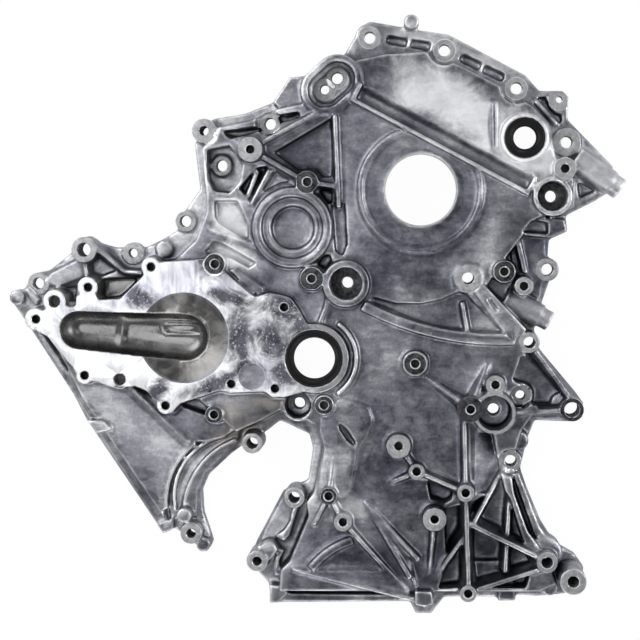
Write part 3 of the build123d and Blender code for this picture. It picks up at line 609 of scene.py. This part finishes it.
def add_turned(bm, x, y, profile, slots, segments):
    """Adds a closed body turned about an upright axis. The profile is (radius, z) from low to high,
    and the slots are the finishes of its bottom, its walls from low to high and its top."""
    rings = []
    for radius, z in profile:
        ring = []
        for k in range(segments):
            angle = 2 * math.pi * k / segments
            ring.append(bm.verts.new((x + radius * math.cos(angle), y + radius * math.sin(angle), z)))
        rings.append(ring)
    bm.faces.new(list(reversed(rings[0]))).material_index = slots[0]
    bm.faces.new(rings[-1]).material_index = slots[-1]
    for low, high, slot in zip(rings, rings[1:], slots[1:]):
        for k in range(segments):
            after = (k + 1) % segments
            bm.faces.new((low[k], low[after], high[after], high[k])).material_index = slot


def arc_through(start, middle, end, count):
    """Places along the arc through three places."""
    (ax, ay), (bx, by), (cx, cy) = start, middle, end
    d = 2 * (ax * (by - cy) + bx * (cy - ay) + cx * (ay - by))
    a, b, c = (x * x + y * y for x, y in (start, middle, end))
    x = (a * (by - cy) + b * (cy - ay) + c * (ay - by)) / d
    y = (a * (cx - bx) + b * (ax - cx) + c * (bx - ax)) / d
    radius = math.hypot(ax - x, ay - y)
    first = math.atan2(ay - y, ax - x)
    turn = (math.atan2(cy - y, cx - x) - first + math.pi) % (2 * math.pi) - math.pi
    angles = [first + turn * k / (count - 1) for k in range(count)]
    return [(x + radius * math.cos(t), y + radius * math.sin(t)) for t in angles]


def add_web(bm):
    """Adds the web between the bowed ribs, as a bar along an arc."""
    places = arc_through(*RIB_WEB, RIB_WEB_PLACES)
    corners = ((-1, RIB_WEB_FOOT), (1, RIB_WEB_FOOT), (1, RIB_WEB_TOP), (-1, RIB_WEB_TOP))
    rings = []
    for before, here, after in zip(places[:1] + places, places, places[1:] + places[-1:]):
        along = Vector((after[0] - before[0], after[1] - before[1])).normalized()
        side = Vector((along.y, -along.x)) * (0.5 * RIB_WEB_W)
        ring = []
        for sign, z in corners:
            x = (here[0] + sign * side.x) * MM
            y = (here[1] + sign * side.y) * MM
            ring.append(bm.verts.new((x, y, z)))
        rings.append(ring)
    bm.faces.new(list(reversed(rings[0])))
    bm.faces.new(rings[-1])
    for one, other in zip(rings, rings[1:]):
        for k in range(len(corners)):
            after = (k + 1) % len(corners)
            bm.faces.new((one[k], one[after], other[after], other[k]))


def add_metal(bm):
    """Adds the seat's floor and the double rib's web to the mesh that is remeshed."""
    x, y, radius, low, high = (value * MM for value in SEAT_FLOOR)
    add_turned(bm, x, y, [(radius, low), (radius, high)], [CAST] * 3, SPOT_SEGMENTS)
    add_web(bm)
    bmesh.ops.recalc_face_normals(bm, faces=bm.faces)


def clean_copy(node):
    """The node's mesh as a bmesh with its split vertices joined."""
    bm = bmesh.new()
    bm.from_mesh(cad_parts[node].data)
    bmesh.ops.remove_doubles(bm, verts=bm.verts, dist=1e-6)
    bm.normal_update()
    return bm


def flat_regions(bm):
    """Groups of connected faces that look straight up at one height. Each is a dictionary, which
    keeps its faces in order, so that every run cuts the same mesh."""
    left = dict.fromkeys(f for f in bm.faces if f.normal.z > LEVEL_NORMAL)
    regions = []
    while left:
        first, _ = left.popitem()
        region = {first: None}
        waiting = [first]
        while waiting:
            face = waiting.pop()
            for edge in face.edges:
                for other in edge.link_faces:
                    if other in left:
                        del left[other]
                        region[other] = None
                        waiting.append(other)
        regions.append(region)
    return regions


def rim_links(region):
    """For each vertex on a region's rim, its neighbours on the rim and the walls between them."""
    links = {}
    for face in region:
        for edge in face.edges:
            walls = [f for f in edge.link_faces if f not in region]
            if len(walls) == 1:
                a, b = edge.verts
                links.setdefault(a, []).append((b, walls[0]))
                links.setdefault(b, []).append((a, walls[0]))
    return links


def rim_loops(links):
    """The rim's vertices, loop by loop."""
    loops = []
    seen = set()
    for start in links:
        if start in seen:
            continue
        loop = []
        onward = [start]
        while onward:
            here = onward[0]
            seen.add(here)
            loop.append(here)
            onward = [vert for vert, wall in links[here] if vert not in seen]
        loops.append(loop)
    return loops


def rim_circles(region):
    """The round holes in a flat region."""
    links = rim_links(region)
    circles = []
    for loop in rim_loops(links):
        if len(loop) < RIM_POINTS:
            continue
        centre = sum((vert.co for vert in loop), Vector()) / len(loop)
        radii = [(vert.co - centre).length for vert in loop]
        radius = sum(radii) / len(radii)
        if max(radii) - min(radii) > RIM_UNROUND * radius:
            continue
        _, wall = links[loop[0]][0]
        inward = (centre - wall.calc_center_median()).dot(wall.normal) > 0
        if inward and abs(wall.normal.z) < WALL_NORMAL:
            floor = min(v.co.z for vert in loop for face in vert.link_faces for v in face.verts)
            circles.append(Circle(centre.x, centre.y, centre.z, radius, floor))
    return circles


def left_as_cast(circle):
    """Whether a round rim is one of the dish's steps or a wide shallow disc, which aren't drilled."""
    shallow = circle.radius > WELL_R and circle.z - circle.floor < WELL_DEPTH
    from_dish = math.hypot(circle.x - DISH[0] * MM, circle.y - DISH[1] * MM)
    return shallow or from_dish < DISH_NEAR * MM


def add_slab(bm, region, low, high, slot):
    """Adds a slab with the region's outline between two heights."""
    below = {}
    above = {}
    for face in region:
        for vert in face.verts:
            if vert not in below:
                below[vert] = bm.verts.new((vert.co.x, vert.co.y, low))
                above[vert] = bm.verts.new((vert.co.x, vert.co.y, high))
    for face in region:
        made = [bm.faces.new([below[vert] for vert in reversed(face.verts)])]
        made.append(bm.faces.new([above[vert] for vert in face.verts]))
        for edge in face.edges:
            if sum(f in region for f in edge.link_faces) == 1:
                a, b = edge.verts
                made.append(bm.faces.new((below[a], below[b], above[b], above[a])))
        for piece in made:
            piece.material_index = slot


def add_drill(bm, circle):
    """Adds a drill for one round hole: straight walls, a bright chamfer up to the faced height and a
    flare over it."""
    radius = circle.radius
    top = circle.z - MILL_CUT
    bottom = circle.floor - (THROUGH_CUT if circle.floor < MM else BLIND_CUT)
    tapped = abs(radius - TAP_R) < TAP_SLACK
    bored = radius > WELL_R
    chamfer = TAP_CHAMFER if tapped else BORE_CHAMFER if bored else HOLE_CHAMFER
    chamfer = min(chamfer, CHAMFER_SHARE * (top - bottom))
    wide = radius + chamfer
    flare = WIDE_FLARE if tapped or bored else HOLE_FLARE
    profile = [(radius, bottom), (radius, top - chamfer), (wide, top), (wide + flare, top + flare)]
    floor_slot = DARK if bored else BORED
    wall_slot = BORED if tapped else FACED
    slots = [floor_slot, wall_slot, BRIGHT, BRIGHT, BRIGHT]
    add_turned(bm, circle.x, circle.y, profile, slots, BORE_SEGMENTS if bored else HOLE_SEGMENTS)


def drill_sets(circles):
    """The circles in groups whose members stand clear of each other, widest first."""
    def clear(one, other):
        gap = math.hypot(one.x - other.x, one.y - other.y)
        return gap > one.radius + other.radius + DRILL_GAP

    sets = []
    for circle in sorted(circles, key=lambda c: (-c.radius, c.x, c.y)):
        for group in sets:
            if all(clear(circle, other) for other in group):
                group.append(circle)
                break
        else:
            sets.append([circle])
    return sets


def plan_machining(bm):
    """The cutters for the machined faces, those for spot faces and dark faces, and the holes to drill."""
    slabs = bmesh.new()
    spots = bmesh.new()
    circles = []
    for region in flat_regions(bm):
        height = next(iter(region)).calc_center_median().z
        found = rim_circles(region)
        circles += [circle for circle in found if not left_as_cast(circle)]
        area = sum(face.calc_area() for face in region)
        is_pad = abs(height - PAD_TOP) < LEVEL_SLACK and area > PAD_AREA
        if not found or not is_pad and max(circle.radius for circle in found) > WELL_R:
            continue
        if abs(height - FLANGE_TOP) < FLANGE_SLACK:
            for circle in found:
                if circle.radius < SPOT_HOLE_R:
                    spot = max(SPOT_FACE, SPOT_SHARE * circle.radius)
                    profile = [(spot, circle.z - MILL_CUT), (spot, circle.z + SPOT_OVER)]
                    add_turned(spots, circle.x, circle.y, profile, [FACED] * 3, SPOT_SEGMENTS)
        elif abs(height - CASE_TOP) > LEVEL_SLACK and height > FLANGE_TOP:
            add_slab(slabs, region, height - MILL_CUT, height + SLAB_OVER, PAD if is_pad else FACED)
    for face in DARK_FACES:
        x, y, radius = (value * MM for value in face)
        height = max(c.z for c in circles if math.hypot(c.x - x, c.y - y) < MM)
        profile = [(radius, height - DARK_CUT), (radius, height + DARK_OVER)]
        add_turned(spots, x, y, profile, [DARK, FACED, DARK], SPOT_SEGMENTS)
    return slabs, spots, circles


def cut(body, cutter_bm):
    """Takes the closed cutters away from the body."""
    bmesh.ops.recalc_face_normals(cutter_bm, faces=cutter_bm.faces)
    mesh = bpy.data.meshes.new("cutters")
    cutter_bm.to_mesh(mesh)
    cutter_bm.free()
    tool = new_object("cutters", mesh, finishes)
    apply_modifier(body, "BOOLEAN", operation="DIFFERENCE", object=tool, solver="MANIFOLD")
    bpy.data.objects.remove(tool)


def mesh_arrays(mesh):
    """The vertices' places, and the two ends of each edge."""
    places = np.empty(3 * len(mesh.vertices), dtype=np.float32)
    mesh.vertices.foreach_get("co", places)
    ends = np.empty(2 * len(mesh.edges), dtype=np.int32)
    mesh.edges.foreach_get("vertices", ends)
    return places.reshape(-1, 3).astype(np.float64), ends.reshape(-1, 2)


def put_places(mesh, places):
    """Moves the mesh's vertices to those places."""
    mesh.vertices.foreach_set("co", places.astype(np.float32).ravel())
    mesh.update()


def vertex_normals(mesh):
    """The normal at each vertex."""
    normals = np.empty(3 * len(mesh.vertices), dtype=np.float32)
    mesh.vertex_normals.foreach_get("vector", normals)
    return normals.reshape(-1, 3)


def fill_corners(mesh):
    """Rounds inner corners widely and outer edges a little, as a die's fillets do."""
    places, ends = mesh_arrays(mesh)
    a, b = ends.T
    count = len(places)
    links = np.bincount(a, minlength=count) + np.bincount(b, minlength=count)
    for _ in range(FILLET_STEPS):
        normals = vertex_normals(mesh)
        outward = np.zeros(count)
        for k in range(3):
            sums = np.bincount(a, places[b, k], count) + np.bincount(b, places[a, k], count)
            outward += (sums / links - places[:, k]) * normals[:, k]
        share = np.where(outward > 0, INNER_SHARE, OUTER_SHARE)
        places += normals * (outward * share)[:, None]
        put_places(mesh, places)


def distance_to_run(places, start, end):
    """How far each place lies from a straight run, seen from above, in metres."""
    start = np.array(start) * MM
    run = np.array(end) * MM - start
    share = np.clip((places[:, :2] - start) @ run / (run @ run), 0, 1)
    return np.linalg.norm(places[:, :2] - start - share[:, None] * run, axis=1)


def raise_lines(mesh):
    """Cast lines in the pump slot and the dish: the cone's rim, a tongue loop, a step and two rings."""
    places, _ = mesh_arrays(mesh)
    steepest = 0.25
    easing = 0.4
    up = np.clip((vertex_normals(mesh)[:, 2] - steepest) / easing, 0, 1)
    in_slot = (places[:, 2] < PAD_TOP - MM) & (places[:, 2] > FLANGE_TOP)

    def ridge(distance, height, width, where):
        """Raises the skin along a line, with its height and width in millimetres."""
        places[:, 2] += height * MM * up * where * np.exp(-(distance / (width * MM)) ** 2)

    cone_x = places[:, 0] - CONE[0] * MM
    cone_y = places[:, 1] - CONE[1] * MM
    on_turn = np.abs(np.arctan2(cone_y, cone_x)) < CONE_RIM_TURN
    ridge(np.hypot(cone_x, cone_y) - CONE_RIM_R * MM, *CONE_RIM, in_slot & on_turn)
    beside_cone = in_slot & (places[:, 0] < (CONE[0] + CONE_RIM_R - TONGUE_GAP) * MM)
    loop = np.abs(distance_to_run(places, *TONGUE_LINE) - TONGUE_HALF * MM)
    ridge(loop, *TONGUE_LOOP, beside_cone)
    for line, where in ((TONGUE_MIDDLE, beside_cone), (SLOT_STEP, in_slot)):
        start, end, height, width = line
        ridge(distance_to_run(places, start, end), height, width, where)
    from_dish = np.hypot(places[:, 0] - DISH[0] * MM, places[:, 1] - DISH[1] * MM)
    for radius, height in DISH_RINGS:
        ridge(from_dish - radius * MM, height, DISH_RING_W, from_dish < DISH_REACH * MM)
    put_places(mesh, places)


def round_skin(body):
    """Gives the casting its skin: remeshed, filleted, with its raised lines, and evenly fine."""
    apply_modifier(body, "REMESH", mode="VOXEL", voxel_size=VOXEL)
    fill_corners(body.data)
    raise_lines(body.data)
    apply_modifier(body, "SMOOTH", factor=ROUNDING_FACTOR, iterations=ROUNDING_STEPS)
    triangles = 2.0 * len(body.data.polygons)
    apply_modifier(body, "DECIMATE", ratio=CAST_TRIANGLES / triangles)


def crisp_finishes(mesh):
    """Makes the machined faces' borders sharp and gives the gasket face its finish."""
    bm = bmesh.new()
    bm.from_mesh(mesh)
    for face in bm.faces:
        face.smooth = True
        looks_down = face.normal.z < -0.99
        if face.material_index == CAST and looks_down and face.calc_center_median().z < GASKET_REACH:
            face.material_index = FACED
    for edge in bm.edges:
        if len(edge.link_faces) != 2:
            continue
        one, other = edge.link_faces
        machined = one.material_index != CAST or other.material_index != CAST
        edge.smooth = not (machined and edge.calc_face_angle(0) > CRISP_ANGLE)
    bm.to_mesh(mesh)
    bm.free()


def casting():
    """The casting, with its skin rounded as cast and its machined faces and holes cut crisp again."""
    bm = clean_copy("timing_cover")
    slabs, spots, circles = plan_machining(bm)
    add_metal(bm)
    mesh = bpy.data.meshes.new("cast_body")
    bm.to_mesh(mesh)
    bm.free()
    body = new_object("cast_body", mesh, finishes)
    for polygon in mesh.polygons:
        polygon.material_index = CAST
    round_skin(body)
    cut(body, slabs)
    cut(body, spots)
    for group in drill_sets(circles):
        drills = bmesh.new()
        for circle in group:
            add_drill(drills, circle)
        cut(body, drills)
    crisp_finishes(body.data)
    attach(body, "root")
    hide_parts("timing_cover")


def rounded(profile, reach):
    """A closed profile with each corner turned into three points."""
    most_of_side = 0.35
    points = []
    for before, here, after in zip(profile[-1:] + profile, profile, profile[1:] + profile[:1]):
        here = Vector(here)
        ends = []
        for other in (Vector(before), Vector(after)):
            way = other - here
            ends.append(here + way * min(reach / way.length, most_of_side))
        points += [ends[0], 0.25 * ends[0] + 0.5 * here + 0.25 * ends[1], ends[1]]
    return points


def seal_profile(seat, top, outer, lip):
    """A seal's section from its outer wall over the rim, the groove, the dust edge and the lip to the
    spring's seat and back under the web."""
    spring = lip + SPRING_REACH
    spring_z = seat + SPRING_HEIGHT
    web = top - SEAL_WEB
    return [
        (outer, seat),
        (outer, top - SEAL_EDGE),
        (outer - SEAL_EDGE, top),
        (outer - SEAL_RIM, top),
        (outer - GROOVE_OUTER, top - GROOVE_DEPTH),
        (lip + GROOVE_INNER, top - GROOVE_DEPTH),
        (lip + DUST_OUTER, top - DUST_TOP_SINK),
        (lip + DUST_INNER, top - DUST_TOP_SINK),
        (lip + DUST_FOOT, top - DUST_FOOT_SINK),
        (lip, spring_z + LIP_HALF),
        (lip, spring_z - LIP_HALF),
        (spring - SPRING_R, spring_z - 2 * SPRING_R),
        (spring - SPRING_R, spring_z + SPRING_R),
        (spring + SPRING_R, spring_z + SPRING_R),
        (spring + SPRING_R, web),
        (outer - SEAL_WALL, web),
        (outer - SEAL_WALL, seat),
    ]


def seal(node, material, outer, lip):
    """A lip seal in place of its plain solid: a rim, a groove, and a lip with a raised dust edge."""
    low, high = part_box(node)
    x = 0.5 * (low[0] + high[0])
    y = 0.5 * (low[1] + high[1])
    points = rounded(seal_profile(low[2], high[2], outer, lip), SEAL_ROUNDING)
    bm = bmesh.new()
    columns = []
    for k in range(SEAL_SEGMENTS):
        angle = 2 * math.pi * k / SEAL_SEGMENTS
        places = [(x + r * math.cos(angle), y + r * math.sin(angle), z) for r, z in points]
        columns.append([bm.verts.new(place) for place in places])
    for one, other in zip(columns, columns[1:] + columns[:1]):
        for k in range(len(points)):
            after = (k + 1) % len(points)
            bm.faces.new((one[k], other[k], other[after], one[after])).smooth = True
    bmesh.ops.recalc_face_normals(bm, faces=bm.faces)
    mesh = bpy.data.meshes.new(node + "_rubber")
    bm.to_mesh(mesh)
    bm.free()
    ring = new_object(node + "_rubber", mesh, [material])
    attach(ring, "root")
    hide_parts(node)


def set_finish(node, material):
    """Gives a node of the solids its finish."""
    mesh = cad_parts[node].data
    mesh.materials.clear()
    mesh.materials.append(material)


def camera():
    """The photograph's view."""
    data = bpy.data.cameras.new("camera")
    data.sensor_width = SENSOR
    data.lens = LENS
    data.clip_start = CLIP_START
    data.clip_end = CLIP_END
    obj = bpy.data.objects.new("camera", data)
    obj.location = CAMERA_AT
    forward = (Vector(CAMERA_AIM) - Vector(CAMERA_AT)).normalized()
    right = forward.cross(Vector((0, 1, 0))).normalized()
    up = right.cross(forward)
    obj.rotation_euler = Matrix((right, up, -forward)).transposed().to_euler()
    bpy.context.scene.collection.objects.link(obj)
    bpy.context.scene.camera = obj


def white_floor():
    """A floor that takes soft shadows and is nearly pure white to the camera."""
    mesh = bpy.data.meshes.new("floor")
    half = FLOOR_HALF
    corners = [(-half, -half, 0), (half, -half, 0), (half, half, 0), (-half, half, 0)]
    mesh.from_pydata(corners, [], [(0, 1, 2, 3)])
    n = Nodes("floor_white")
    n.shader.inputs["Base Color"].default_value = (FLOOR_WHITE, FLOOR_WHITE, FLOOR_WHITE, 1)
    n.shader.inputs["Roughness"].default_value = 0.9
    ray = n.add("ShaderNodeLightPath")
    glow = n.add("ShaderNodeEmission")
    glow.inputs["Strength"].default_value = 1.0
    mix = n.add("ShaderNodeMixShader")
    share = n.math("MULTIPLY", ray.outputs["Is Camera Ray"], FLOOR_GLOW)
    n.link(share, mix.inputs["Fac"])
    n.link(n.shader.outputs["BSDF"], mix.inputs[1])
    n.link(glow.outputs["Emission"], mix.inputs[2])
    output = n.tree.nodes["Material Output"]
    n.link(mix.outputs["Shader"], output.inputs["Surface"])
    floor = new_object("floor", mesh, [n.material])


def surround():
    """A surround that is white to the camera and darkens overhead for what the metal mirrors."""
    world = bpy.data.worlds.new("studio")
    bpy.context.scene.world = world
    world.use_nodes = True
    nodes = world.node_tree.nodes
    links = world.node_tree.links
    background = nodes["Background"]
    ray = nodes.new("ShaderNodeLightPath")
    way = nodes.new("ShaderNodeTexCoord")
    split = nodes.new("ShaderNodeSeparateXYZ")
    links.new(way.outputs["Generated"], split.inputs["Vector"])
    ramp = nodes.new("ShaderNodeValToRGB")
    fill_ramp(ramp, [(position, (grey, grey, SKY_BLUE * grey)) for position, grey in SKY_GREYS])
    links.new(split.outputs["Z"], ramp.inputs["Fac"])
    mix = nodes.new("ShaderNodeMix")
    mix.data_type = "RGBA"
    links.new(ray.outputs["Is Camera Ray"], mix.inputs["Factor"])
    links.new(ramp.outputs["Color"], mix.inputs["A"])
    mix.inputs["B"].default_value = (1, 1, 1, 1)
    links.new(mix.outputs["Result"], background.inputs["Color"])


def soft_lamp(name, place, size, power):
    """A round soft lamp aimed at the cover's middle."""
    data = bpy.data.lights.new(name, "AREA")
    data.shape = "DISK"
    data.size = size
    data.energy = power
    lamp = bpy.data.objects.new(name, data)
    lamp.location = place
    lamp.rotation_euler = (-Vector(place)).to_track_quat("-Z", "Y").to_euler()
    bpy.context.scene.collection.objects.link(lamp)


def studio():
    """A white floor, a white surround for the camera, and soft lamps."""
    white_floor()
    surround()
    for lamp in LAMPS:
        soft_lamp(*lamp)


rubber = rubber_material()
steel = machined_material("spring_steel", (0.45, 0.45, 0.45), (0.62, 0.62, 0.62), 0.3)
for node, outer, lip in SEALS:
    seal(node, rubber, outer, lip)
    set_finish(node + "_spring", steel)
casting()
camera()
studio()
bpy.context.scene.view_settings.view_transform = "Standard"
